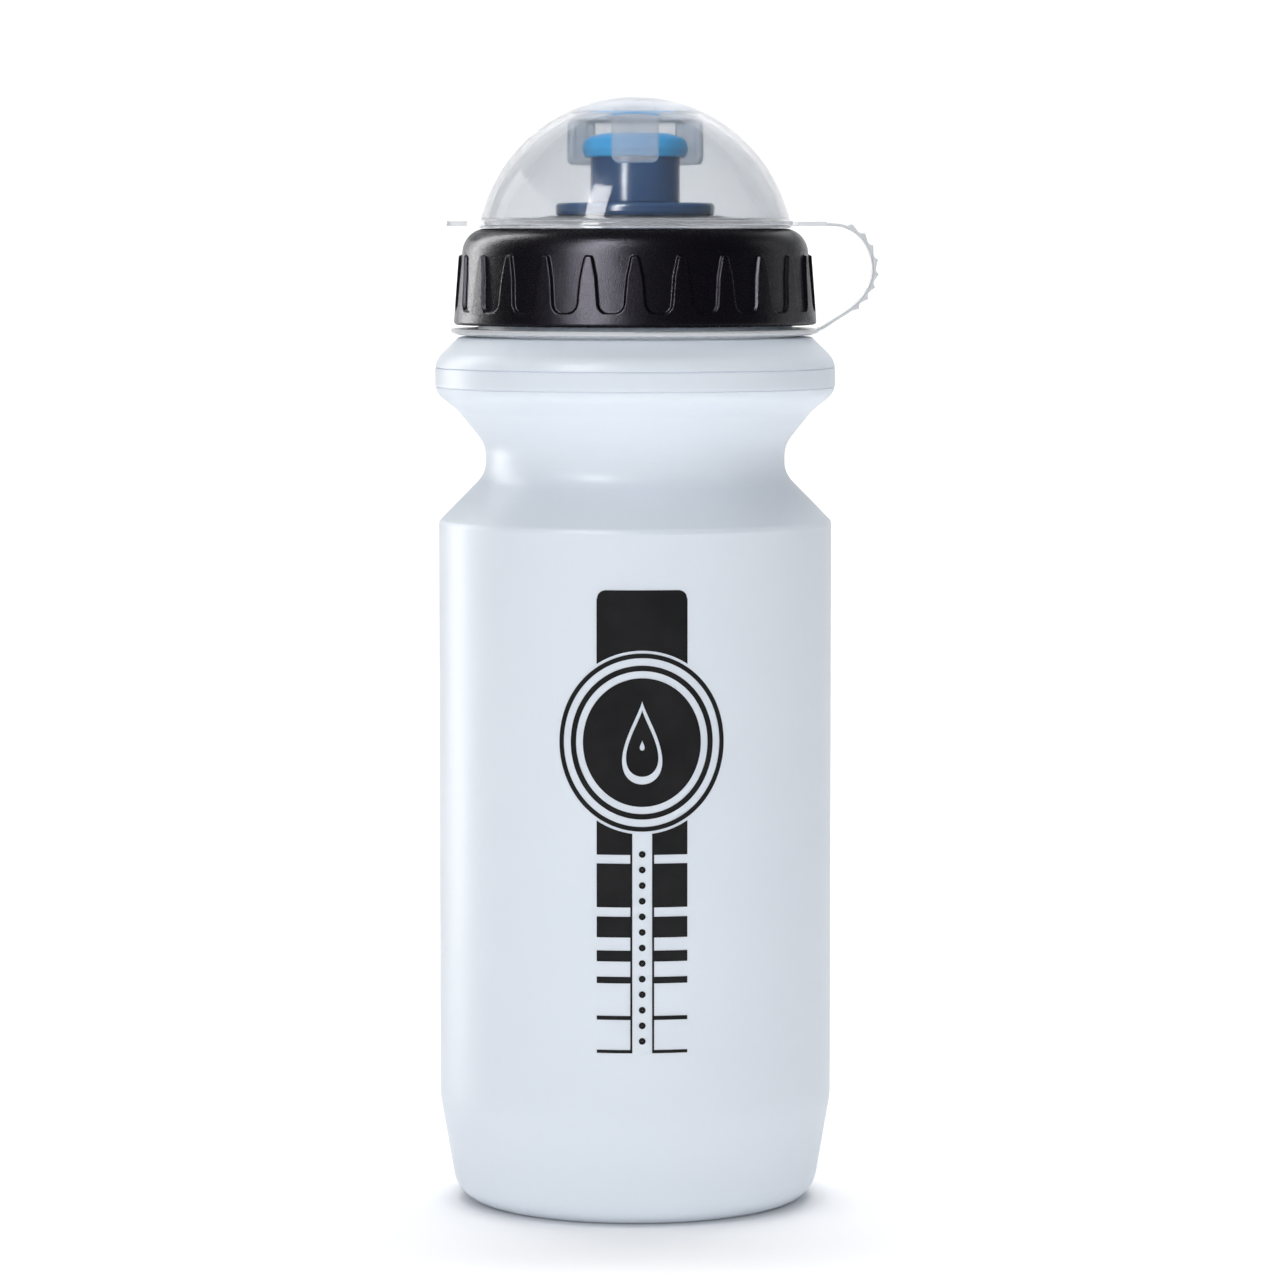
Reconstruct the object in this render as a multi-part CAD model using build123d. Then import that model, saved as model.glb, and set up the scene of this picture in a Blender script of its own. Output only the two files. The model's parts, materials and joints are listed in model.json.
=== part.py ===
"""Bicycle water bottle with a ribbed screw cap, a push-pull valve and a tethered dust cap.

Millimetres. The origin is the centre of the foot, +Z is up, the front faces -Y, and the tether
strap is at +X. Each piece is written to parts/ as its own STEP.
"""
import math
import os

from build123d import *

# ---- driving dimensions -------------------------------------------------------------------
BODY_R = 36.75            # fits a standard bicycle cage
WALL = 1.1                # blown wall of the bottle
FOOT_R = 33.35            # where the tapered side would meet the floor
TAPER_TOP = 19.8          # height at which the side becomes a straight cylinder
SHOULDER_Z = 127.8        # top edge of the cylinder, above it is the finger groove
WAIST_R = 28.0            # finger groove
WAIST_Z = 139.9
BULGE_R = 37.4            # rounded band above the groove
BULGE_LOW_Z = 151.9
BULGE_HIGH_Z = 157.9
CREASE_HEIGHTS = (152.9, 156.5)   # hairlines at the edges of that band
CREASE_DEPTH = 0.3
NECK_BASE_Z = 162.2
NECK_R = 29.3
NECK_BORE_R = 27.5
RIM_Z = 178.6             # sealing rim of the neck

THREAD_LEAD = 5.0         # single start, right-handed
NECK_THREAD_R = 30.8      # crest of the ridge on the neck
NECK_THREAD_Z = 168.6
NECK_THREAD_TURNS = 1.25
THREAD_ROOT_HALF = 1.15   # half the height of a ridge at its root
THREAD_CREST_HALF = 0.5
CAP_WALL_R = 31.2         # inside of the cap's skirt
CAP_THREAD_R = 29.75      # crest of the ridge inside the cap
CAP_THREAD_TURNS = 1.0
CAP_THREAD_ANGLE = 72     # where the cap's ridge starts, clear of the neck's

SKIRT_Z = 164.5           # lower edge of the screw cap
SKIRT_R = 33.9
BAND_TOP_Z = 167.0        # plain band below the grip ribs
RIB_COUNT = 24
RIB_TOP_Z = 177.6
RIB_TOP_R = 32.9
RIB_HEIGHT = 0.6          # how far a rib stands out of the wall
RIB_FOOT_HALF_WIDTH = 2.5
RIB_MIDDLE_HALF_WIDTH = 1.95
RIB_TIP_HALF_WIDTH = 1.05
RIB_DRAFT = 32            # slope of a rib's flanks, in degrees
RIB_ROOT_DEPTH = 0.5      # how far a rib is rooted in the wall
CAP_TOP_Z = 182.4
CAP_CORNER_R = 4.6
CAP_CEILING_Z = 180.0
CONE_FOOT_R = 25.6        # the low cone on the cap's top
CONE_HEAD_R = 16.2
CONE_TOP_Z = 184.8
CONE_WALL = 2.0
CAP_BORE_R = 12.0
GASKET_INNER_R = 26.4
GASKET_OUTER_R = 29.9

SHANK_BOTTOM_Z = 181.2    # snap-in shank of the spout, inside the cap's bore
SPOUT_DISC_R = 14.8
SPOUT_DISC_TOP_Z = 187.2
SPOUT_TUBE_R = 6.8
SPOUT_BORE_R = 5.4
SPOUT_TUBE_TOP_Z = 195.6
BEAD_R = 7.3              # ridge that stops the sleeve when it is pulled up
BEAD_Z = 193.35           # underside of that ridge
GROOVE_Z = 194.4          # middle of the O-ring groove, above the ridge
GROOVE_R = 6.25
O_RING_SECTION_R = 0.5
PIN_R = 2.4               # plug that closes the mouthpiece
PIN_STEM_R = 1.5
HUB_BOTTOM_Z = 188.4
HUB_TOP_Z = 190.4
HUB_WALL = 0.9
SPOKE_COUNT = 3

SLEEVE_R = 8.35
SLEEVE_BORE_R = 7.4
SLEEVE_LIP_BORE_R = 6.85
SLEEVE_NECK_R = 7.6       # narrower top of the sleeve, inside the mouthpiece
SLEEVE_NECK_Z = 196.5
SLEEVE_TOP_Z = 198.2
SLEEVE_HOLE_R = 3.2
VALVE_TRAVEL = 4.0
MOUTH_HOLE_R = 2.5
MOUTH_LIP_R = 9.85
MOUTH_BOTTOM_Z = 195.4
MOUTH_TOP_Z = 199.9
SNUG = 0.05               # clearance between pieces that are pressed together

RING_OUTER_R = 34.4
RING_INNER_R = 31.25
RING_Z = 162.7
RING_THICK = 1.1

DOME_R = 29.65
DOME_CENTRE_Z = 177.25
DOME_WALL = 1.3
FLANGE_Z = 182.45
FLANGE_THICK = 1.3
FLANGE_UNDERSIDE_Z = FLANGE_Z + 0.35
DOME_RIM_R = 27.0         # short rim that rests on the cap
RIM_WALL = 1.0
TAB_REACH = 35.1
TAB_WIDTH = 16.0
TAB_CORNER_R = 5.5
HINGE_X = 37.0            # where the strap bends next to the flange
HINGE_Z = 183.2
HINGE_GAP = 1.4           # bare length of the bend on each side of its middle
PRONG_COUNT = 3
PRONG_OUTER_R = 12.5
PRONG_INNER_R = 11.3
PRONG_WIDTH = 8.6
PRONG_BOTTOM_Z = 194.3
BOSS_R = 6.2
BOSS_Z = 204.2
CROWN_RING_DROP = 1.6     # how far the ring that carries the fingers hangs below the pad

STRAP_WIDTH = 8.0
STRAP_THICK = 0.9
STRAP_TOOTH = 0.65        # height of the grip teeth
STRAP_TOOTH_COUNT = 8
FIRST_TOOTH_PLACE = 0.34  # shares of the strap's length
LAST_TOOTH_PLACE = 0.9


# ---- shared helpers -----------------------------------------------------------------------
def outline(corners):
    """A closed face from corners, each (across, up, corner radius)."""
    points = [(across, up) for across, up, _ in corners]
    radii = [radius for _, _, radius in corners]
    return make_face(FilletPolyline(*points, radius=radii, close=True))


def turned(corners):
    """A solid turned about +Z from corners, each (radius, height, corner radius)."""
    return revolve(Plane.XZ * outline(corners), Axis.Z)


def helical_ridge(root_r, crest_r, start_z, turns, start_angle):
    """A thread ridge of trapezoid section, from root_r to crest_r, rising anticlockwise."""
    path = Helix(THREAD_LEAD, THREAD_LEAD * turns, root_r)
    section = Plane.XZ * make_face(
        Polyline(
            (root_r, -THREAD_ROOT_HALF),
            (crest_r, -THREAD_CREST_HALF),
            (crest_r, THREAD_CREST_HALF),
            (root_r, THREAD_ROOT_HALF),
            close=True,
        )
    )
    ridge = sweep(section, path=path, is_frenet=True)
    return Pos(0, 0, start_z) * Rot(0, 0, start_angle) * ridge


def around(shape, count, first_angle=0.0):
    """Copies of a shape, evenly spaced about +Z."""
    return [Rot(0, 0, first_angle + index * 360 / count) * shape for index in range(count)]


# ---- bottle -------------------------------------------------------------------------------
def crease(height):
    """A hairline groove round the rounded band."""
    half = 0.35
    beyond_r = BULGE_R + 0.5
    return turned([
        (BULGE_R - CREASE_DEPTH, height, 0),
        (beyond_r, height - half, 0),
        (beyond_r, height + half, 0),
    ])


def make_bottle_body():
    outside = [
        (0, 3.0, 0),
        (20.0, 3.0, 3.0),
        (26.4, 0, 1.2),
        (FOOT_R, 0, 6.0),
        (BODY_R, TAPER_TOP, 14.0),
        (BODY_R, SHOULDER_Z, 1.4),
        (WAIST_R, WAIST_Z - 3.2, 5.0),
        (WAIST_R, WAIST_Z + 2.2, 6.0),
        (33.1, 148.4, 3.0),
        (BULGE_R, BULGE_LOW_Z, 3.6),
        (BULGE_R, BULGE_HIGH_Z, 4.5),
        (34.2, 161.0, 1.2),
        (33.0, NECK_BASE_Z, 1.0),
        (NECK_R, NECK_BASE_Z, 0.5),
        (NECK_R, RIM_Z, 0.5),
    ]
    inside = [
        (NECK_BORE_R, RIM_Z, 0.4),
        (NECK_BORE_R, NECK_BASE_Z - 1.3, 1.5),
        (32.3, NECK_BASE_Z - 1.4, 0.8),
        (BULGE_R - WALL, BULGE_HIGH_Z - 0.9, 3.0),
        (BULGE_R - WALL, BULGE_LOW_Z + 0.9, 2.4),
        (32.2, 149.4, 3.0),
        (WAIST_R - WALL, WAIST_Z + 2.5, 6.5),
        (WAIST_R - WALL, WAIST_Z - 3.6, 5.5),
        (BODY_R - WALL, SHOULDER_Z - 0.6, 1.0),
        (BODY_R - WALL, TAPER_TOP, 13.0),
        (FOOT_R - 1.0, 1.4, 4.8),
        (26.9, 1.4, 1.4),
        (20.5, 4.4, 2.5),
        (0, 4.4, 0),
    ]
    shell = turned(outside + inside)
    for height in CREASE_HEIGHTS:
        shell = shell - crease(height)
    thread = helical_ridge(NECK_R - 0.2, NECK_THREAD_R, NECK_THREAD_Z, NECK_THREAD_TURNS, 0)
    return shell + thread


# ---- screw cap ----------------------------------------------------------------------------
def wall_radius(z, outward=0.0):
    """Radius of the cap's tapered wall between the ribs, at height z."""
    slope = (SKIRT_R - RIB_TOP_R) / (RIB_TOP_Z - SKIRT_Z)
    return RIB_TOP_R - RIB_HEIGHT + (RIB_TOP_Z - z) * slope + outward


def make_rib():
    """One grip rib with sloping flanks, and the round corners of the flutes at its foot."""
    half_pitch = math.pi * SKIRT_R / RIB_COUNT
    height = RIB_TOP_Z - BAND_TOP_Z
    side = [
        (half_pitch, -1.0, 0),
        (half_pitch, 0.3, 0),
        (RIB_FOOT_HALF_WIDTH, 0.3, 1.6),
        (RIB_MIDDLE_HALF_WIDTH, height * 0.62, 8.0),
        (RIB_TIP_HALF_WIDTH, height + 0.3, 1.0),
    ]
    other_side = [(-across, up, radius) for across, up, radius in reversed(side)]
    lean = math.atan((SKIRT_R - RIB_TOP_R) / (RIB_TOP_Z - SKIRT_Z))
    wall = Plane(
        origin=(0, RIB_ROOT_DEPTH - wall_radius(BAND_TOP_Z), BAND_TOP_Z),
        x_dir=(1, 0, 0),
        z_dir=(0, -math.cos(lean), math.sin(lean)),
    )
    blank = extrude(wall * outline(side + other_side), amount=2, taper=RIB_DRAFT)
    root_r = CAP_WALL_R + RIB_ROOT_DEPTH
    foot_z = BAND_TOP_Z - 1.2
    top_z = RIB_TOP_Z + 1.0
    sheath = turned([
        (root_r, foot_z, 0),
        (wall_radius(foot_z, RIB_HEIGHT), foot_z, 0),
        (wall_radius(top_z, RIB_HEIGHT), top_z, 0),
        (root_r, top_z, 0),
    ])
    return blank & sheath


def make_screw_cap():
    shell = turned([
        (CAP_WALL_R, SKIRT_Z, 0.3),
        (SKIRT_R, SKIRT_Z, 0.6),
        (wall_radius(BAND_TOP_Z, RIB_HEIGHT), BAND_TOP_Z, 0.25),
        (wall_radius(BAND_TOP_Z), BAND_TOP_Z, 0.2),
        (wall_radius(CAP_TOP_Z), CAP_TOP_Z, CAP_CORNER_R),
        (CONE_FOOT_R, CAP_TOP_Z, 0.5),
        (CONE_HEAD_R, CONE_TOP_Z, 0.5),
        (CAP_BORE_R, CONE_TOP_Z, 0.3),
        (CAP_BORE_R, CONE_TOP_Z - CONE_WALL, 0),
        (CONE_HEAD_R - 0.2, CONE_TOP_Z - CONE_WALL, 1.0),
        (CONE_FOOT_R - 0.4, CAP_CEILING_Z + 0.6, 0.5),
        (CONE_FOOT_R + 0.6, CAP_CEILING_Z, 0),
        (CAP_WALL_R, CAP_CEILING_Z, 0),
    ])
    thread_z = NECK_THREAD_Z - THREAD_LEAD / 2 + 1.0
    thread = helical_ridge(
        CAP_WALL_R + 0.3, CAP_THREAD_R, thread_z, CAP_THREAD_TURNS, CAP_THREAD_ANGLE
    )
    return shell + thread + around(make_rib(), RIB_COUNT)


def make_cap_gasket():
    return turned([
        (GASKET_INNER_R, RIM_Z, 0.2),
        (GASKET_OUTER_R, RIM_Z, 0.2),
        (GASKET_OUTER_R, CAP_CEILING_Z, 0.2),
        (GASKET_INNER_R, CAP_CEILING_Z, 0.2),
    ])


# ---- valve --------------------------------------------------------------------------------
def make_spout_base():
    """Disc on the cap's top with the snap-in shank below and the drinking tube above."""
    groove_half = O_RING_SECTION_R + 0.1
    tube_r = SPOUT_TUBE_R - 0.1
    disc_top = SPOUT_DISC_TOP_Z - 0.1
    shank_r = CAP_BORE_R - SNUG
    snap_z = CONE_TOP_Z - CONE_WALL - SNUG
    return turned([
        (SPOUT_BORE_R, SHANK_BOTTOM_Z, 0.3),
        (shank_r - 0.6, SHANK_BOTTOM_Z, 0.3),
        (shank_r + 0.7, snap_z, 0.1),
        (shank_r, snap_z, 0),
        (shank_r, CONE_TOP_Z, 0),
        (SPOUT_DISC_R, CONE_TOP_Z, 0.7),
        (SPOUT_DISC_R, disc_top, 0.8),
        (tube_r, disc_top, 0),
        (tube_r, BEAD_Z, 0),
        (BEAD_R, BEAD_Z, 0.1),
        (BEAD_R, GROOVE_Z - groove_half, 0.1),
        (GROOVE_R, GROOVE_Z - groove_half, 0),
        (GROOVE_R, GROOVE_Z + groove_half, 0),
        (tube_r, GROOVE_Z + groove_half, 0),
        (tube_r, SPOUT_TUBE_TOP_Z, 0.3),
        (SPOUT_BORE_R, SPOUT_TUBE_TOP_Z, 0.3),
    ])


def make_stopper_pin():
    """Plug on a three-spoked hub, pressed into the drinking tube."""
    hub = turned([
        (SPOUT_BORE_R - HUB_WALL, HUB_BOTTOM_Z, 0),
        (SPOUT_BORE_R, HUB_BOTTOM_Z, 0),
        (SPOUT_BORE_R, HUB_TOP_Z, 0),
        (SPOUT_BORE_R - HUB_WALL, HUB_TOP_Z, 0),
    ])
    plug_top = MOUTH_TOP_Z - 0.3
    plug = turned([
        (0, HUB_BOTTOM_Z, 0),
        (PIN_STEM_R, HUB_BOTTOM_Z, 0.3),
        (PIN_STEM_R, plug_top - 3.2, 0.5),
        (PIN_R, plug_top - 2.0, 0.4),
        (PIN_R, plug_top, 0.6),
        (0, plug_top, 0),
    ])
    spoke_reach = SPOUT_BORE_R - 0.5
    hub_middle = (HUB_TOP_Z + HUB_BOTTOM_Z) / 2
    spoke = Pos(0, spoke_reach / 2, hub_middle) * Box(1.1, spoke_reach, 1.6)
    return hub + plug + around(spoke, SPOKE_COUNT, 60)


def make_stem_o_ring():
    ring_r = GROOVE_R + O_RING_SECTION_R + SNUG
    return Pos(0, 0, GROOVE_Z) * Torus(ring_r, O_RING_SECTION_R)


def make_valve_sleeve():
    """Rigid sleeve that slides on the tube and carries the soft mouthpiece."""
    lip_top = BEAD_Z - VALVE_TRAVEL - 0.1
    return turned([
        (SLEEVE_LIP_BORE_R, SPOUT_DISC_TOP_Z, 0.2),
        (SLEEVE_R, SPOUT_DISC_TOP_Z, 0.3),
        (SLEEVE_R, SLEEVE_NECK_Z - 0.8, 0),
        (SLEEVE_NECK_R, SLEEVE_NECK_Z, 0),
        (SLEEVE_NECK_R, SLEEVE_TOP_Z, 0.3),
        (SLEEVE_HOLE_R, SLEEVE_TOP_Z, 0.3),
        (SLEEVE_HOLE_R, SLEEVE_NECK_Z, 0.3),
        (SLEEVE_BORE_R - 0.9, SLEEVE_NECK_Z, 0.3),
        (SLEEVE_BORE_R, SLEEVE_NECK_Z - 0.9, 0.3),
        (SLEEVE_BORE_R, lip_top, 0),
        (SLEEVE_LIP_BORE_R, lip_top, 0.1),
    ])


def make_mouthpiece():
    """Soft drinking tip moulded over the top of the sleeve."""
    return turned([
        (SLEEVE_NECK_R + SNUG, SLEEVE_NECK_Z + SNUG, 0),
        (SLEEVE_R + SNUG, SLEEVE_NECK_Z - 0.75, 0),
        (MOUTH_LIP_R - 0.55, MOUTH_BOTTOM_Z, 0.5),
        (MOUTH_LIP_R + 0.05, MOUTH_BOTTOM_Z + 1.7, 1.0),
        (MOUTH_LIP_R - 0.5, MOUTH_TOP_Z - 0.9, 1.6),
        (MOUTH_LIP_R - 3.2, MOUTH_TOP_Z, 2.0),
        (MOUTH_HOLE_R, MOUTH_TOP_Z, 0.3),
        (MOUTH_HOLE_R, SLEEVE_TOP_Z + SNUG, 0),
        (SLEEVE_NECK_R + SNUG, SLEEVE_TOP_Z + SNUG, 0),
    ])


# ---- tether -------------------------------------------------------------------------------
def make_tether_ring():
    return turned([
        (RING_INNER_R, RING_Z - 0.1, 0.2),
        (33.0, RING_Z - 0.1, 0.2),
        (RING_OUTER_R, RING_Z + 0.3, 0.3),
        (RING_OUTER_R, RING_Z + RING_THICK, 0.3),
        (RING_INNER_R, RING_Z + RING_THICK, 0.2),
    ])


def strap_path():
    """Centre line of the strap in the XZ plane, from the ring up to the dust cap's flange."""
    return Spline(
        (RING_OUTER_R + 0.35, 163.9),
        (37.4, 165.6),
        (41.3, 168.4),
        (43.9, 171.7),
        (44.5, 174.9),
        (43.8, 178.2),
        (42.0, 181.0),
        (HINGE_X + HINGE_GAP, HINGE_Z),
        tangents=((2.0, 1.0), (-1.0, 0.1)),
    )


def strap_face():
    """The strap's side outline: smooth inside, saw-like teeth outside."""
    path = strap_path()
    steps = 24
    inner = []
    outer = []
    for step in range(steps + 1):
        place = step / steps
        point = path @ place
        along = path % place
        across = Vector(along.Y, -along.X, 0)
        inner.append(point - across * (STRAP_THICK / 2))
        outer.append(point + across * (STRAP_THICK / 2))
    inner_edge = Spline(*inner)
    outer_edge = Spline(*outer)
    start = Line(inner[0], outer[0])
    end = Line(inner[-1], outer[-1])
    return make_face(Curve() + [inner_edge, outer_edge, start, end])


def strap_tooth(place):
    """One saw tooth on the outside of the strap, at a share of the strap's length."""
    path = strap_path()
    point = path @ place
    along = path % place
    across = Vector(along.Y, -along.X, 0)
    skin = STRAP_THICK / 2
    base = point + across * (skin - 0.25)
    tip = point + across * (skin + STRAP_TOOTH)
    lower = base - along * 0.7
    upper = base + along * 1.1
    tip_lower = tip - along * 0.35
    tip_upper = tip + along * 0.2
    return make_face(Polyline(lower, tip_lower, tip_upper, upper, close=True))


def make_tether_strap():
    """A flat strap standing in its rest curve, with grip teeth on its outer side."""
    side = strap_face()
    spacing = (LAST_TOOTH_PLACE - FIRST_TOOTH_PLACE) / (STRAP_TOOTH_COUNT - 1)
    for index in range(STRAP_TOOTH_COUNT):
        side = side + strap_tooth(FIRST_TOOTH_PLACE + index * spacing)
    return extrude(Plane.XZ * side, amount=STRAP_WIDTH / 2, both=True)


# ---- dust cap -----------------------------------------------------------------------------
def within_dome():
    """Ball halfway through the dome's wall; it trims what stands inside or outside the dome."""
    return Pos(0, 0, DOME_CENTRE_Z) * Sphere(DOME_R - DOME_WALL / 2)


def dome_shell():
    """Clear half-round cap on a thin flange, with a short rim that rests on the screw cap."""
    inner_r = DOME_R - DOME_WALL
    flange_top = FLANGE_Z + FLANGE_THICK
    rim_bottom = CAP_TOP_Z + SNUG
    dome = Pos(0, 0, DOME_CENTRE_Z) * (Sphere(DOME_R) - Sphere(inner_r))
    below = Pos(0, 0, FLANGE_Z - 50) * Box(100, 100, 100)
    flange = turned([
        (DOME_RIM_R - RIM_WALL, rim_bottom, 0),
        (DOME_RIM_R, rim_bottom, 0.2),
        (DOME_RIM_R + 0.4, FLANGE_UNDERSIDE_Z, 0.3),
        (DOME_R - 0.1, FLANGE_UNDERSIDE_Z, 0.3),
        (DOME_R - 0.1, flange_top, 0.3),
        (DOME_RIM_R - RIM_WALL, flange_top, 0),
    ])
    corner = turned([
        (inner_r - 0.35, flange_top - 0.4, 0),
        (DOME_R - 0.2, flange_top - 0.4, 0),
        (DOME_R - 0.2, flange_top, 0),
        (DOME_R - 0.7, flange_top + 0.15, 0.8),
        (inner_r + 0.25, flange_top + 1.5, 0),
        (inner_r - 0.35, flange_top + 1.5, 0),
    ])
    return (dome - below) + flange + corner


def thumb_tab():
    """Flat tab opposite the strap that lifts the dust cap."""
    inner = -25.0
    half_width = TAB_WIDTH / 2
    face = outline([
        (inner, -half_width - 2.5, 0),
        (-TAB_REACH, -half_width, TAB_CORNER_R),
        (-TAB_REACH, half_width, TAB_CORNER_R),
        (inner, half_width + 2.5, 0),
    ])
    thickness = FLANGE_Z + FLANGE_THICK - FLANGE_UNDERSIDE_Z
    return extrude(Pos(0, 0, FLANGE_UNDERSIDE_Z) * face, amount=thickness) - within_dome()


def strap_root():
    """Short tongue of the flange that the strap hangs from."""
    root_x = 26.0
    length = HINGE_X - HINGE_GAP - root_x
    tongue = Pos(root_x + length / 2, 0, HINGE_Z) * Box(length, STRAP_WIDTH, STRAP_THICK)
    return tongue - within_dome()


def make_prong():
    """One of the three flat fingers that stand round the valve inside the dome."""
    height = 10
    thickness = PRONG_OUTER_R - PRONG_INNER_R
    middle_r = (PRONG_INNER_R + PRONG_OUTER_R) / 2
    blank = Pos(0, -middle_r, PRONG_BOTTOM_Z + height / 2) * Box(PRONG_WIDTH, thickness, height)
    rounded = fillet(blank.edges().filter_by(Axis.Y).group_by(Axis.Z)[0], 1.4)
    softened = chamfer(rounded.faces().sort_by(Axis.Y)[0].edges(), 0.3)
    panel_z = PRONG_BOTTOM_Z + 1.5 + height / 2
    panel = Pos(0, -PRONG_OUTER_R, panel_z) * Box(PRONG_WIDTH / 2, 0.6, height)
    return (softened - panel) & within_dome()


def crown_ring():
    """Low ring under the crown that the fingers hang from."""
    bottom = BOSS_Z - CROWN_RING_DROP
    blank = turned([
        (PRONG_INNER_R, bottom, 0.2),
        (PRONG_OUTER_R, bottom, 0.2),
        (PRONG_OUTER_R, bottom + 4, 0),
        (PRONG_INNER_R, bottom + 4, 0),
    ])
    return blank & within_dome()


def crown_boss():
    """Round pad under the crown that keeps the valve shut."""
    blank = turned([
        (0, BOSS_Z, 0),
        (BOSS_R, BOSS_Z, 0.3),
        (BOSS_R, BOSS_Z + 3.5, 0),
        (0, BOSS_Z + 3.5, 0),
    ])
    return blank & within_dome()


def make_dust_cap():
    cap = dome_shell() + thumb_tab() + strap_root() + crown_boss() + crown_ring()
    return cap + around(make_prong(), PRONG_COUNT)


# ---- write the parts ----------------------------------------------------------------------
def main():
    pieces = {
        "bottle_body": make_bottle_body(),
        "screw_cap": make_screw_cap(),
        "cap_gasket": make_cap_gasket(),
        "spout_base": make_spout_base(),
        "stopper_pin": make_stopper_pin(),
        "stem_o_ring": make_stem_o_ring(),
        "valve_sleeve": make_valve_sleeve(),
        "mouthpiece": make_mouthpiece(),
        "tether_ring": make_tether_ring(),
        "tether_strap": make_tether_strap(),
        "dust_cap": make_dust_cap(),
    }
    os.makedirs("parts", exist_ok=True)
    for name, shape in pieces.items():
        export_step(shape, f"parts/{name}.step")
        print(name, round(shape.volume), "mm3")


main()
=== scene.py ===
"""Looks of the bicycle water bottle: camera, studio, print, tether strap and every material."""
import json
import math

import bmesh
import bpy
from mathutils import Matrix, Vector


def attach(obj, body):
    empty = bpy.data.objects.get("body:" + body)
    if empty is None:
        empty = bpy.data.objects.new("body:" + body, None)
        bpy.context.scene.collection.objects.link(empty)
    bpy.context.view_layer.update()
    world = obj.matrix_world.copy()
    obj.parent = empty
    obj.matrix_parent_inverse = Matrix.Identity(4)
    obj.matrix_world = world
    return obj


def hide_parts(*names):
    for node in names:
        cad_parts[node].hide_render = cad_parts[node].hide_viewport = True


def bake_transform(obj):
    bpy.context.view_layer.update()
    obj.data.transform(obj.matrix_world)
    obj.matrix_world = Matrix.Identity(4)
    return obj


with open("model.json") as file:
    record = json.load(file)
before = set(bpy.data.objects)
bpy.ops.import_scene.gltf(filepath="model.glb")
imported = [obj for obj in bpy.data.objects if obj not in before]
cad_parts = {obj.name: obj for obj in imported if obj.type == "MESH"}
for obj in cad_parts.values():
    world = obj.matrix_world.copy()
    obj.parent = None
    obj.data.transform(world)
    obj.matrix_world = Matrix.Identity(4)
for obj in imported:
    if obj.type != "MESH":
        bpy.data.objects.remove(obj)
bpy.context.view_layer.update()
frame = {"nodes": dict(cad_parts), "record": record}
nodes = frame["nodes"]

MM = 0.001

# ---- places taken from the frame ----------------------------------------------------------
mounts = {mount["name"]: mount for mount in frame["record"]["mounts"]}
BODY_R = mounts["cage_grip"]["dims"]["r_mm"] * MM

# ---- camera -------------------------------------------------------------------------------
CAMERA_PLACE = (0.0009, -1.0, 0.183)
CAMERA_TILT = 4.44                # degrees downwards
CAMERA_LENS = 150.3
CAMERA_SENSOR = 36
NEAREST_SEEN = 0.05


def make_camera():
    """A long lens at the height of the dust cap's flange, looking slightly down."""
    data = bpy.data.cameras.new("camera")
    data.sensor_width = CAMERA_SENSOR
    data.lens = CAMERA_LENS
    data.clip_start = NEAREST_SEEN
    camera = bpy.data.objects.new("camera", data)
    bpy.context.scene.collection.objects.link(camera)
    camera.location = CAMERA_PLACE
    camera.rotation_euler = (math.radians(90 - CAMERA_TILT), 0, 0)
    bpy.context.scene.camera = camera


# ---- studio -------------------------------------------------------------------------------
OPAQUE_NODES = (
    "bottle_body", "screw_cap", "cap_gasket", "spout_base",
    "stopper_pin", "stem_o_ring", "valve_sleeve", "mouthpiece",
)
DARK_NODES = ("screw_cap", "spout_base", "valve_sleeve")
FILL_LIGHTS = (                   # name, place, aim, width and height, watts
    ("wall_wash", (0, 0.35, 1.5), (0, 1.25, 0.35), (0.9, 0.4), 19),
    ("left_fill", (-0.75, -0.55, 0.35), (0, 0, 0.12), (0.5, 0.7), 0.9),
    ("front_fill", (0.05, -1.5, 0.45), (0, 0, 0.1), (0.8, 0.5), 8.5),
    ("top", (0, -0.25, 0.95), (0, 0, 0.1), (0.6, 0.5), 0.9),
)
FLOOR_LIGHT = ("floor_wash", (0, -0.1, 1.2), (0, -0.1, 0), (1.2, 1.0), 6.6)
GLOSS_LIGHTS = (                  # the same, and the nodes that show its reflection
    ("strip_left", (-0.42, -0.80, 0.62), (0, 0, 0.17), (0.10, 1.3), 60, DARK_NODES),
    ("rim_left", (-0.62, 0.56, 0.45), (0, 0, 0.16), (0.16, 1.1), 11, ("screw_cap",)),
    ("rim_right", (0.72, 0.28, 0.28), (0, 0, 0.12), (0.06, 0.8), 1.0, ("screw_cap",)),
    ("side_left", (-0.62, 0.40, 0.30), (0, 0, 0.12), (0.25, 0.8), 9, ("bottle_body",)),
    ("spot_left", (-0.45, -0.70, 0.70), (0, 0, 0.12), (0.20, 0.2), 20, ("bottle_body",)),
    ("window", (-0.50, -0.80, 0.55), (0, 0, 0.17), (0.24, 1.1), 15, ("dust_cap",)),
    ("side_window", (-1.0, 0.15, 0.40), (0, 0, 0.18), (1.2, 0.8), 6, ("dust_cap",)),
)
WORLD_COLOUR = (0.93, 0.95, 1.0, 1)
WORLD_STRENGTH = 0.15
FLOOR_FRONT = -1.6
FLOOR_HALF_WIDTH = 2.4
BEND_START = 0.7                  # where the floor starts to curve up
BEND_R = 0.6
BEND_STEPS = 16
WALL_TOP = 1.9


def gathered(name, objects):
    """A collection that a light can be told to light, or to be blocked by."""
    collection = bpy.data.collections.new(name)
    for item in objects:
        collection.objects.link(item)
    return collection


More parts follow.
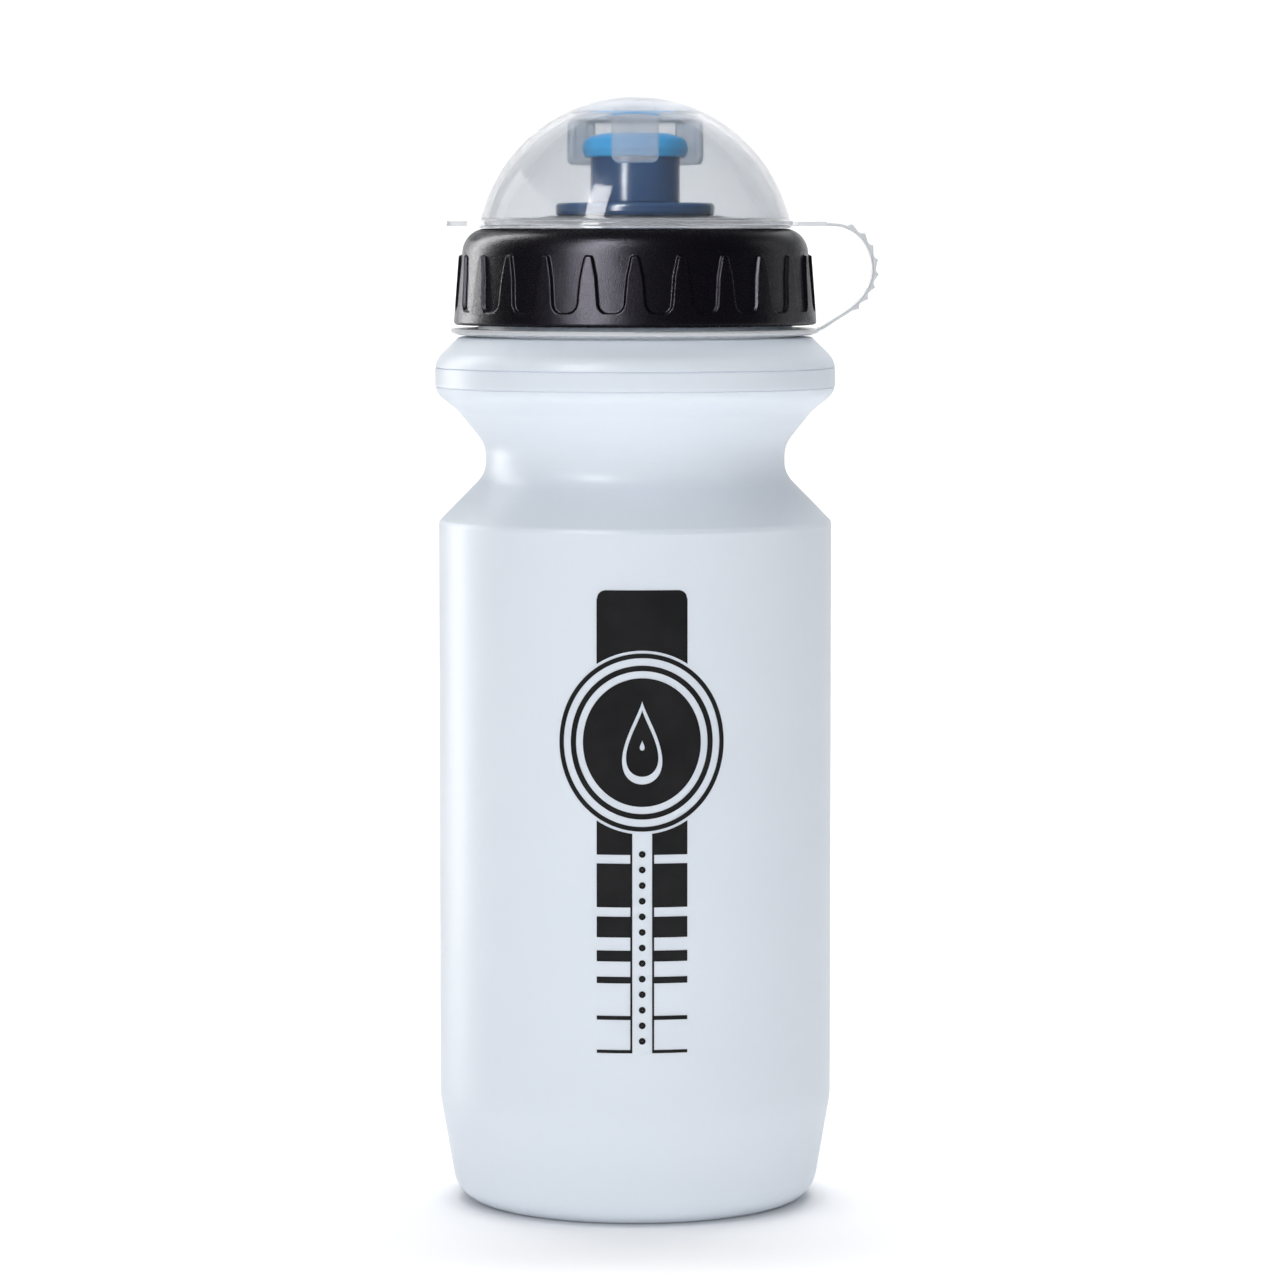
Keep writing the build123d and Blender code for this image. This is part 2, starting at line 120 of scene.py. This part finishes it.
def area_light(name, place, aim, size, watts, blockers):
    """A soft light that isn't seen itself, and that only the blockers cast shadows in."""
    data = bpy.data.lights.new(name, "AREA")
    data.shape = "RECTANGLE"
    data.size, data.size_y = size
    data.energy = watts
    light = bpy.data.objects.new(name, data)
    bpy.context.scene.collection.objects.link(light)
    light.location = place
    light.visible_camera = False
    light.visible_glossy = False
    light.visible_transmission = False
    light.light_linking.blocker_collection = blockers
    direction = Vector(aim) - Vector(place)
    light.rotation_euler = direction.to_track_quat("-Z", "Y").to_euler()
    return light


def gloss_light(name, place, aim, size, watts, receivers, blockers):
    """A light that shows only as a reflection, in the CAD nodes named."""
    light = area_light(name, place, aim, size, watts, blockers)
    light.visible_diffuse = False
    light.visible_glossy = True
    shown_in = gathered(name + "_receivers", [nodes[node] for node in receivers])
    light.light_linking.receiver_collection = shown_in


def make_world():
    world = bpy.data.worlds.new("studio")
    bpy.context.scene.world = world
    world.use_nodes = True
    sky = world.node_tree.nodes["Background"]
    sky.inputs["Color"].default_value = WORLD_COLOUR
    sky.inputs["Strength"].default_value = WORLD_STRENGTH


def make_floor():
    """A pale sweep: a floor at the foot's height that curves up into a wall behind the bottle."""
    profile = [(FLOOR_FRONT, 0.0), (BEND_START, 0.0)]
    for step in range(1, BEND_STEPS + 1):
        angle = math.pi / 2 * step / BEND_STEPS
        profile.append((BEND_START + BEND_R * math.sin(angle), BEND_R * (1 - math.cos(angle))))
    profile.append((BEND_START + BEND_R, WALL_TOP))
    built = bmesh.new()
    left = [built.verts.new((-FLOOR_HALF_WIDTH, y, z)) for y, z in profile]
    right = [built.verts.new((FLOOR_HALF_WIDTH, y, z)) for y, z in profile]
    for index in range(len(profile) - 1):
        built.faces.new((left[index], right[index], right[index + 1], left[index + 1]))
    mesh = bpy.data.meshes.new("floor")
    built.to_mesh(mesh)
    built.free()
    for face in mesh.polygons:
        face.use_smooth = True
    floor = bpy.data.objects.new("floor", mesh)
    bpy.context.scene.collection.objects.link(floor)
    floor.data.materials.append(paper_material())
    return floor


def make_studio():
    bpy.context.scene.view_settings.view_transform = "Standard"
    make_world()
    floor = make_floor()
    blockers = gathered("shadow_casters", [nodes[node] for node in OPAQUE_NODES])
    for fill in FILL_LIGHTS:
        area_light(*fill, blockers)
    floor_wash = area_light(*FLOOR_LIGHT, blockers)
    floor_wash.light_linking.receiver_collection = gathered("floor_receivers", [floor])
    for gloss in GLOSS_LIGHTS:
        gloss_light(*gloss, blockers)


# ---- material helpers ---------------------------------------------------------------------
NOISE_LOW = 0.3                   # nearly all of a noise pattern lies between these two
NOISE_HIGH = 0.7


class Surface:
    """A node material built round one Principled shader, with its patterns in object space."""

    def __init__(self, name):
        self.material = bpy.data.materials.new(name)
        self.material.use_nodes = True
        self.tree = self.material.node_tree
        self.shader = self.tree.nodes["Principled BSDF"]
        self.space = self.tree.nodes.new("ShaderNodeTexCoord").outputs["Object"]

    def set(self, **values):
        """Sets the shader's own sockets, named with underscores for spaces."""
        for key, value in values.items():
            self.shader.inputs[key.replace("_", " ")].default_value = value

    def link(self, output, socket):
        self.tree.links.new(output, self.shader.inputs[socket])

    def noise(self, scale, detail=3.0, roughness=0.5, stretch=(1, 1, 1)):
        """Noise with `scale` features to the metre, stretched along the axes."""
        mapping = self.tree.nodes.new("ShaderNodeMapping")
        mapping.inputs["Scale"].default_value = stretch
        self.tree.links.new(self.space, mapping.inputs["Vector"])
        node = self.tree.nodes.new("ShaderNodeTexNoise")
        node.inputs["Scale"].default_value = scale
        node.inputs["Detail"].default_value = detail
        node.inputs["Roughness"].default_value = roughness
        self.tree.links.new(mapping.outputs["Vector"], node.inputs["Vector"])
        return node.outputs["Fac"]

    def height(self):
        """The object-space height."""
        split = self.tree.nodes.new("ShaderNodeSeparateXYZ")
        self.tree.links.new(self.space, split.inputs["Vector"])
        return split.outputs["Z"]

    def radius(self):
        """The object-space distance from the upright axis."""
        flat = self.tree.nodes.new("ShaderNodeVectorMath")
        flat.operation = "MULTIPLY"
        flat.inputs[1].default_value = (1, 1, 0)
        self.tree.links.new(self.space, flat.inputs[0])
        length = self.tree.nodes.new("ShaderNodeVectorMath")
        length.operation = "LENGTH"
        self.tree.links.new(flat.outputs["Vector"], length.inputs[0])
        return length.outputs["Value"]

    def rim(self):
        """0 where the surface faces the eye, 1 where it turns away; the dome's colour is darkened by it
        as painted edge shade.
        """
        node = self.tree.nodes.new("ShaderNodeLayerWeight")
        node.inputs["Blend"].default_value = 0.5
        return node.outputs["Facing"]

    def between(self, source, low, high, to_low, to_high):
        """Source mapped from low..high to to_low..to_high, clamped."""
        node = self.tree.nodes.new("ShaderNodeMapRange")
        node.inputs["From Min"].default_value = low
        node.inputs["From Max"].default_value = high
        node.inputs["To Min"].default_value = to_low
        node.inputs["To Max"].default_value = to_high
        self.tree.links.new(source, node.inputs["Value"])
        return node.outputs["Result"]

    def tint(self, source, first, second):
        """A colour between two, by the source."""
        ramp = self.tree.nodes.new("ShaderNodeValToRGB")
        ramp.color_ramp.elements[0].color = (*first, 1)
        ramp.color_ramp.elements[1].color = (*second, 1)
        ramp.color_ramp.elements[0].position = NOISE_LOW
        ramp.color_ramp.elements[1].position = NOISE_HIGH
        self.tree.links.new(source, ramp.inputs["Fac"])
        return ramp.outputs["Color"]

    def stain(self, first, second):
        """One colour multiplied by another."""
        node = self.tree.nodes.new("ShaderNodeVectorMath")
        node.operation = "MULTIPLY"
        self.tree.links.new(first, node.inputs[0])
        self.tree.links.new(second, node.inputs[1])
        return node.outputs["Vector"]

    def multiply(self, first, second):
        """One number multiplied by another."""
        node = self.tree.nodes.new("ShaderNodeMath")
        node.operation = "MULTIPLY"
        self.tree.links.new(first, node.inputs[0])
        self.tree.links.new(second, node.inputs[1])
        return node.outputs["Value"]

    def colour(self, source, first, second):
        """Base colour between two, by a noise."""
        self.link(self.tint(source, first, second), "Base Color")

    def roughness(self, source, low, high):
        """Roughness between two values, by a noise."""
        self.link(self.between(source, NOISE_LOW, NOISE_HIGH, low, high), "Roughness")

    def bump(self, source, depth, strength=1.0, rounding=0.0):
        """Surface relief of the given depth in metres, over edges that look rounded."""
        node = self.tree.nodes.new("ShaderNodeBump")
        if rounding:
            edges = self.tree.nodes.new("ShaderNodeBevel")
            edges.samples = 8
            edges.inputs["Radius"].default_value = rounding
            self.tree.links.new(edges.outputs["Normal"], node.inputs["Normal"])
        node.inputs["Strength"].default_value = strength
        node.inputs["Distance"].default_value = depth
        self.tree.links.new(source, node.inputs["Height"])
        self.link(node.outputs["Normal"], "Normal")


# ---- materials ----------------------------------------------------------------------------
POLYPROPYLENE_IOR = 1.42
WHITE = (1, 1, 1)
PAINTED_BLUE_END = (12.2 * MM, 13.4 * MM)       # radii between which the painted blue of the mouthpiece, seen through the fingers and crown, fades out
HAZE_END = (12.8 * MM, 14.0 * MM)          # radii between which the fingers' haze fades out
TAB_START = (30.0 * MM, 31.0 * MM)         # radii between which the tab's haze starts
FLANGE_END = (183.6 * MM, 184.6 * MM)      # heights between which the flange's haze fades out
EDGE_SHADE_START_END = (0.62, 0.98)              # how far a wall turns away before painted edge shade darkens its colour
GRAIN_END = (179.0 * MM, 181.5 * MM)       # heights between which the cap's grain fades
CAP_EDGE_R = 0.35 * MM                     # rounding of the screw cap's edges in the shading


def paper_material():
    surface = Surface("pale_paper")
    surface.colour(surface.noise(8), (0.90, 0.90, 0.91), (0.93, 0.93, 0.93))
    surface.set(Roughness=0.9)
    return surface.material


def bottle_material():
    """Frosted translucent polyethylene, slightly blue."""
    surface = Surface("frosted_polyethylene")
    surface.colour(surface.noise(22, 1.0), (0.780, 0.855, 0.965), (0.795, 0.867, 0.970))
    surface.roughness(surface.noise(1500), 0.36, 0.46)
    surface.set(
        Specular_IOR_Level=0.14,
        Subsurface_Weight=0.5,
        Subsurface_Scale=0.003,
        Subsurface_Radius=(1.0, 1.0, 1.0),
    )
    surface.bump(surface.noise(60, 1.0, stretch=(1, 1, 0.25)), 0.00004, 0.4)
    return surface.material


def dome_material():
    """Clear polypropylene, hazier in its fingers and crown, at its flange and in its tab, with painted
    edge shade where its walls turn away and a painted blue refraction of the mouthpiece in its fingers
    and crown.
    """
    surface = Surface("clear_polypropylene")
    haze = surface.noise(90, 1.0)
    clear = surface.tint(haze, (0.735, 0.755, 0.775), (0.755, 0.770, 0.790))
    # painted refraction: a blue tint over the fingers and crown stands in for the blue mouthpiece seen
    # through them
    past_painted_blue = surface.between(surface.radius(), *PAINTED_BLUE_END, 0.0, 1.0)
    inner = surface.tint(past_painted_blue, (0.90, 0.93, 0.97), WHITE)
    # painted edge shade: the colour darkens where the wall turns from the eye, for the dark outline its
    # refraction shows, partly also for the longer path through the plastic
    edge_shade_share = surface.between(surface.rim(), *EDGE_SHADE_START_END, 0.0, 1.0)
    edge = surface.tint(edge_shade_share, WHITE, (0.66, 0.66, 0.68))
    surface.link(surface.stain(surface.stain(clear, inner), edge), "Base Color")
    surface.roughness(haze, 0.04, 0.08)
    above_flange = surface.between(surface.height(), *FLANGE_END, 0.78, 1.0)
    beyond_fingers = surface.between(surface.radius(), *HAZE_END, 0.77, 0.98)
    beyond_dome = surface.between(surface.radius(), *TAB_START, 1.0, 0.45)
    clearness = surface.multiply(surface.multiply(above_flange, beyond_fingers), beyond_dome)
    surface.link(clearness, "Transmission Weight")
    surface.set(IOR=POLYPROPYLENE_IOR)
    surface.bump(surface.noise(45, 1.0), 0.00003, 0.3)
    return surface.material


def tether_material():
    """The same plastic where it is thin and scuffed: milky."""
    surface = Surface("milky_polypropylene")
    haze = surface.noise(90, 1.0)
    surface.colour(haze, (0.70, 0.72, 0.74), (0.74, 0.76, 0.78))
    surface.roughness(haze, 0.16, 0.24)
    surface.set(IOR=POLYPROPYLENE_IOR, Transmission_Weight=0.25)
    surface.bump(surface.noise(300, 1.0), 0.00003, 0.3)
    return surface.material


def cap_material():
    """Black polypropylene: grained on its side, smoother on top."""
    surface = Surface("black_polypropylene")
    grain = surface.noise(4200, 2.0, 0.6)
    grain_share = surface.between(surface.height(), *GRAIN_END, 1.0, 0.45)
    surface.colour(surface.noise(35), (0.0025, 0.0020, 0.0035), (0.0040, 0.0034, 0.0055))
    surface.roughness(grain, 0.24, 0.31)
    surface.set(Specular_IOR_Level=0.12, Specular_Tint=(0.88, 0.85, 1.0, 1))
    surface.bump(surface.multiply(grain, grain_share), 0.00006, 0.8, rounding=CAP_EDGE_R)
    return surface.material


def valve_material():
    """Glossy slate-blue plastic."""
    surface = Surface("dark_valve_plastic")
    surface.colour(surface.noise(60), (0.017, 0.062, 0.155), (0.022, 0.070, 0.170))
    surface.roughness(surface.noise(300), 0.14, 0.22)
    surface.set(Specular_IOR_Level=0.35)
    surface.bump(surface.noise(900, 2.0), 0.00001, 0.4)
    return surface.material


def mouth_material():
    """Soft blue thermoplastic rubber."""
    surface = Surface("blue_soft_plastic")
    surface.colour(surface.noise(120), (0.038, 0.325, 0.640), (0.044, 0.350, 0.680))
    surface.roughness(surface.noise(800), 0.34, 0.46)
    surface.set(Specular_IOR_Level=0.35, Subsurface_Weight=0.15, Subsurface_Scale=0.001)
    surface.bump(surface.noise(1800, 2.0), 0.00002, 0.4)
    return surface.material


def seal_material():
    """Pale silicone."""
    surface = Surface("pale_silicone")
    surface.colour(surface.noise(200), (0.62, 0.64, 0.66), (0.70, 0.71, 0.73))
    surface.roughness(surface.noise(900), 0.45, 0.6)
    surface.set(IOR=1.42, Subsurface_Weight=0.3, Subsurface_Scale=0.001)
    return surface.material


def ink_material():
    """Black screen-print ink with a faint orange-peel."""
    surface = Surface("black_ink")
    surface.colour(surface.noise(150), (0.006, 0.006, 0.007), (0.012, 0.012, 0.013))
    surface.roughness(surface.noise(1500), 0.30, 0.42)
    surface.set(Specular_IOR_Level=0.20)
    surface.bump(surface.noise(2500, 1.0), 0.000008, 0.5)
    return surface.material


# ---- print on the front -------------------------------------------------------------------
PRINT_CENTRE = 1.3 * MM           # along the curved front, to the right of the bottle's middle
INK_LIFT = 0.05 * MM              # how far the ink stands on the plastic
INK_SINK = 0.02 * MM
BAND_HALF = 8.3 * MM
BAND_TOP = 117.2 * MM
BAND_CORNER = 1.7 * MM
ROUNDEL_Z = 89.55 * MM
ROUNDEL_HALF_WIDTH = 15.35 * MM
ROUNDEL_HALF_HEIGHT = 16.2 * MM
ROUNDEL_GAP = 0.5 * MM            # bare plastic round the roundel
OUTER_LINE = (0, 0.85 * MM)       # each line's two edges, inwards from the roundel's outline
INNER_LINE = (2.2 * MM, 3.2 * MM)
DISC_INSET = 4.5 * MM
DROP_WIDTH = 5.3 * MM
DROP_HALF_HEIGHT = 7.6 * MM
DROP_SHIFT = 0.6 * MM             # the point that the drop shrinks towards is this far down
DROP_TAPER = 1.6                  # higher is sharper at the top
DROP_INSIDE = 0.80                # inner edge of the drop's bare line, as a share of its outline
DROP_DOT = 0.12
RULE_HALF = 1.8 * MM              # the two upright rules stand this far from the middle
RULE_WIDTH = 0.37 * MM
RULE_BOTTOM = 32.8 * MM
BARS = (                          # top and bottom of each pair of bars, in millimetres
    (75.5, 69.1), (67.5, 59.5), (57.8, 54.0), (51.6, 49.6), (46.8, 45.6), (39.65, 38.9),
    (33.4, 32.8),
)
DOT_R = 0.62 * MM
DOT_HOLE = 0.05                   # a pinhole in each dot, as a share of its radius
DOT_COUNT = 13
FIRST_DOT_Z = 35.0 * MM
DOT_STEP = 2.85 * MM


def wrapped(along, height, lift):
    """A point of the flat artwork, laid round the cylinder's front."""
    angle = (PRINT_CENTRE + along) / BODY_R
    radius = BODY_R + lift
    return (radius * math.sin(angle), -radius * math.cos(angle), height)


def add_film(built, grid, closed):
    """A thin solid film from rows of (along, height) points; closed joins the last row to the first."""
    outer = [[built.verts.new(wrapped(*point, INK_LIFT)) for point in row] for row in grid]
    inner = [[built.verts.new(wrapped(*point, -INK_SINK)) for point in row] for row in grid]
    rows = len(grid)
    columns = len(grid[0])

    def add_wall(start, end):
        """Closes the film's edge from one point of the grid to the next."""
        row, column = start
        next_row, next_column = end
        near = (inner[row][column], outer[row][column])
        far = (outer[next_row][next_column], inner[next_row][next_column])
        built.faces.new((*near, *far))

    for row in range(rows if closed else rows - 1):
        following = (row + 1) % rows
        for column in range(columns - 1):
            corners = (
                (row, column), (row, column + 1), (following, column + 1), (following, column),
            )
            built.faces.new([outer[i][j] for i, j in corners])
            built.faces.new([inner[i][j] for i, j in reversed(corners)])
        for column in (0, columns - 1):
            add_wall((row, column), (following, column))
    if not closed:
        for row in (0, rows - 1):
            for column in range(columns - 1):
                add_wall((row, column), (row, column + 1))


def add_patch(built, left, right, low, high, columns=24, rows=6):
    """A film between two heights that may change along the artwork."""
    grid = []
    for index in range(columns + 1):
        along = left + (right - left) * index / columns
        bottom = low(along)
        top = high(along)
        grid.append([(along, bottom + (top - bottom) * step / rows) for step in range(rows + 1)])
    add_film(built, grid, closed=False)


def add_ring(built, inner, outer, rows=1, segments=160):
    """A film between two closed outlines, each a function of the angle."""
    grid = []
    for index in range(segments):
        angle = 2 * math.pi * index / segments
        first = Vector(inner(angle))
        last = Vector(outer(angle))
        grid.append([tuple(first.lerp(last, step / rows)) for step in range(rows + 1)])
    add_film(built, grid, closed=True)


def oval(inset):
    """The roundel's outline, moved inwards by inset."""
    half_width = ROUNDEL_HALF_WIDTH - inset
    half_height = ROUNDEL_HALF_HEIGHT - inset

    def outline(angle):
        return (half_width * math.sin(angle), ROUNDEL_Z + half_height * math.cos(angle))
    return outline


def drop(scale):
    """A plain water drop about the roundel's centre."""
    def outline(angle):
        narrow = math.sin(angle / 2) ** DROP_TAPER
        across = scale * DROP_WIDTH * math.sin(angle) * narrow
        up = ROUNDEL_Z - DROP_SHIFT + scale * (DROP_HALF_HEIGHT * math.cos(angle) + DROP_SHIFT)
        return (across, up)
    return outline


def dot(middle, share):
    """A circle of a share of a dot's radius, at a height on the artwork's middle line."""
    def outline(angle):
        return (share * DOT_R * math.sin(angle), middle + share * DOT_R * math.cos(angle))
    return outline


def roundel_edge(along, side):
    """Height of the bare margin round the roundel; side is 1 for its top and -1 for its foot."""
    half_width = ROUNDEL_HALF_WIDTH + ROUNDEL_GAP
    half_height = ROUNDEL_HALF_HEIGHT + ROUNDEL_GAP
    return ROUNDEL_Z + side * half_height * math.sqrt(max(0, 1 - (along / half_width) ** 2))


def band_top(along):
    """Upper edge of the band, with round corners."""
    into_corner = abs(along) - (BAND_HALF - BAND_CORNER)
    if into_corner <= 0:
        return BAND_TOP
    return BAND_TOP - BAND_CORNER + math.sqrt(max(0, BAND_CORNER ** 2 - into_corner ** 2))


def add_band(built):
    """The black band above the roundel."""
    add_patch(
        built, -BAND_HALF, BAND_HALF,
        lambda along: roundel_edge(along, 1),
        band_top,
        columns=64, rows=6,
    )


def add_roundel(built):
    """Two lines round a disc with a water drop left bare in it."""
    for outer_inset, inner_inset in (OUTER_LINE, INNER_LINE):
        add_ring(built, oval(inner_inset), oval(outer_inset))
    add_ring(built, drop(1.0), oval(DISC_INSET), rows=10)
    add_ring(built, drop(DROP_DOT), drop(DROP_INSIDE), rows=6)


def add_ladder(built):
    """Pairs of bars that grow thinner downwards, and between them two rules with a row of dots."""
    for top, bottom in BARS:
        for side in (-1, 1):
            near, far = sorted((side * (RULE_HALF + RULE_WIDTH), side * BAND_HALF))
            add_patch(
                built, near, far,
                lambda along: bottom * MM,
                lambda along: min(top * MM, roundel_edge(along, -1)),
                columns=14, rows=3,
            )
    for side in (-1, 1):
        near, far = sorted((side * RULE_HALF, side * (RULE_HALF + RULE_WIDTH)))
        add_patch(
            built, near, far,
            lambda along: RULE_BOTTOM,
            lambda along: roundel_edge(along, -1),
            columns=1, rows=24,
        )
    for index in range(DOT_COUNT):
        middle = FIRST_DOT_Z + index * DOT_STEP
        add_ring(built, dot(middle, DOT_HOLE), dot(middle, 1.0), segments=24)


def make_print():
    built = bmesh.new()
    add_band(built)
    add_roundel(built)
    add_ladder(built)
    bmesh.ops.recalc_face_normals(built, faces=built.faces)
    mesh = bpy.data.meshes.new("front_print")
    built.to_mesh(mesh)
    built.free()
    artwork = bpy.data.objects.new("front_print", mesh)
    bpy.context.scene.collection.objects.link(artwork)
    artwork.data.materials.append(ink_material())
    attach(artwork, "bottle")


# ---- tether strap -------------------------------------------------------------------------
STRAP_ROUTE = (                   # (x, z) in millimetres, from the ring up to the dust cap's tongue
    (33.2, 163.25), (35.0, 163.95), (37.4, 165.5), (40.0, 167.2), (42.3, 169.3), (43.9, 171.9),
    (44.5, 174.9), (43.8, 178.2), (42.0, 181.0), (39.1, 182.75), (35.6, 183.2),
)
ROUTE_STEPS = 40                  # points on the curve from one place of the route to the next
STRAP_HALF_WIDTH = 4.0 * MM
STRAP_INSIDE = 0.30 * MM
STRAP_OUTSIDE = 0.28 * MM
STRAP_EDGE = 0.22 * MM            # bevel of its four long edges
TOOTH_HEIGHT = 0.62 * MM
TOOTH_COUNT = 8
TOOTH_PEAK = 0.62                 # the peak's place in a tooth, as a share of its length
TOOTH_RISE_CURVE = 1.3
TOOTH_FALL_CURVE = 2.5
TEETH_START = 0.30                # shares of the strap's length
TEETH_END = 0.90


def smooth_route(points, steps):
    """Points on a smooth curve through the given ones."""
    route = [Vector((x * MM, z * MM)) for x, z in points]
    padded = [route[0] * 2 - route[1], *route, route[-1] * 2 - route[-2]]
    placed = []
    for index in range(len(route) - 1):
        before, start, end, after = padded[index:index + 4]
        for step in range(steps):
            t = step / steps
            point = 0.5 * (
                2 * start + (end - before) * t
                + (2 * before - 5 * start + 4 * end - after) * t ** 2
                + (3 * start - before - 3 * end + after) * t ** 3
            )
            placed.append(point)
    placed.append(route[-1])
    return placed


def tooth_rise(share):
    """How far saw teeth that lean upwards stand out, at a share of the strap's length."""
    if not TEETH_START <= share <= TEETH_END:
        return 0.0
    phase = (share - TEETH_START) / (TEETH_END - TEETH_START) * TOOTH_COUNT % 1
    if phase < TOOTH_PEAK:
        return TOOTH_HEIGHT * (phase / TOOTH_PEAK) ** TOOTH_RISE_CURVE
    return TOOTH_HEIGHT * (1 - (phase - TOOTH_PEAK) / (1 - TOOTH_PEAK)) ** TOOTH_FALL_CURVE


def strap_section(outside):
    """The strap's cross-section as (out, across) points, with bevelled corners."""
    inside = STRAP_INSIDE
    half = STRAP_HALF_WIDTH
    edge = STRAP_EDGE
    return (
        (-inside, -half + edge), (-inside + edge, -half),
        (outside - edge, -half), (outside, -half + edge),
        (outside, half - edge), (outside - edge, half),
        (-inside + edge, half), (-inside, half - edge),
    )


def strap_piece(name, points, first, last):
    """The stretch of strap between two indices of its route, as a closed mesh."""
    built = bmesh.new()
    total = len(points) - 1
    previous = None
    for index in range(first, last + 1):
        here = points[index]
        direction = (points[min(index + 1, total)] - points[max(index - 1, 0)]).normalized()
        outward = Vector((direction.y, -direction.x))
        ring = []
        for out, across in strap_section(STRAP_OUTSIDE + tooth_rise(index / total)):
            place = here + outward * out
            ring.append(built.verts.new((place.x, across, place.y)))
        if previous:
            for corner in range(len(ring)):
                following = (corner + 1) % len(ring)
                built.faces.new((previous[corner], previous[following], ring[following], ring[corner]))
        else:
            built.faces.new(ring)
        previous = ring
    built.faces.new(reversed(previous))
    bmesh.ops.recalc_face_normals(built, faces=built.faces)
    mesh = bpy.data.meshes.new(name)
    built.to_mesh(mesh)
    built.free()
    piece = bpy.data.objects.new(name, mesh)
    bpy.context.scene.collection.objects.link(piece)
    return piece


def make_strap(material):
    """Two pieces that meet halfway."""
    points = smooth_route(STRAP_ROUTE, ROUTE_STEPS)
    total = len(points) - 1
    middle = total // 2
    lower = strap_piece("strap_lower", points, 0, middle)
    upper = strap_piece("strap_upper", points, middle, total)
    for piece in (lower, upper):
        piece.data.materials.append(material)
        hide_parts("tether_strap")
    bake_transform(lower)
    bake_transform(upper)


# ---- materials on the CAD nodes -----------------------------------------------------------
def dress(names, material):
    for name in names:
        mesh = nodes[name].data
        mesh.materials.clear()
        mesh.materials.append(material)


def dress_nodes(tether):
    dress(("bottle_body",), bottle_material())
    dress(("screw_cap",), cap_material())
    dress(("mouthpiece",), mouth_material())
    dress(("dust_cap",), dome_material())
    dress(("spout_base", "stopper_pin", "valve_sleeve"), valve_material())
    dress(("cap_gasket", "stem_o_ring"), seal_material())
    dress(("tether_ring",), tether)


make_camera()
make_studio()
milky = tether_material()
dress_nodes(milky)
make_print()
make_strap(milky)
